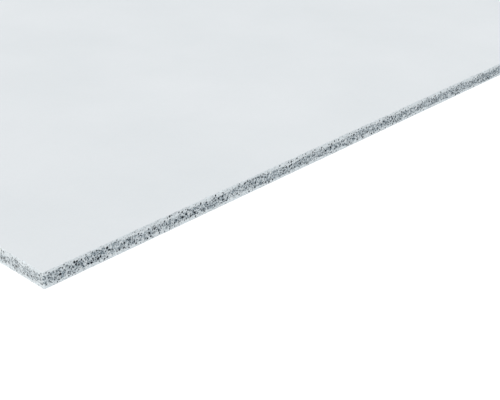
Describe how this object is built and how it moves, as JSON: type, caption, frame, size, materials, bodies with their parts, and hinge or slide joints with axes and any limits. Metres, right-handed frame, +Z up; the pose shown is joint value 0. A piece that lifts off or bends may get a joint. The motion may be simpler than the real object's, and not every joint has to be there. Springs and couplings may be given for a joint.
{
  "type": "lightweight concrete board",
  "caption": "Flat rectangular lightweight-concrete board with smooth pale faces and square sawn edges that show cut beads and pores, for lining walls and floors.",
  "frame": {"origin": "centre of the underside, on the level floor that the board lies on", "axes": "+X along the long side, +Y along the short side, +Z up through the thickness"},
  "size_m": [1.25, 1, 0.0125],
  "materials": {
    "lightweight_concrete": "smooth pale blue-grey cement faces; sawn edges speckled with cut beads and open pores"
  },
  "bodies": {
    "root": {"board": "lightweight_concrete"}
  },
  "joints": []
}
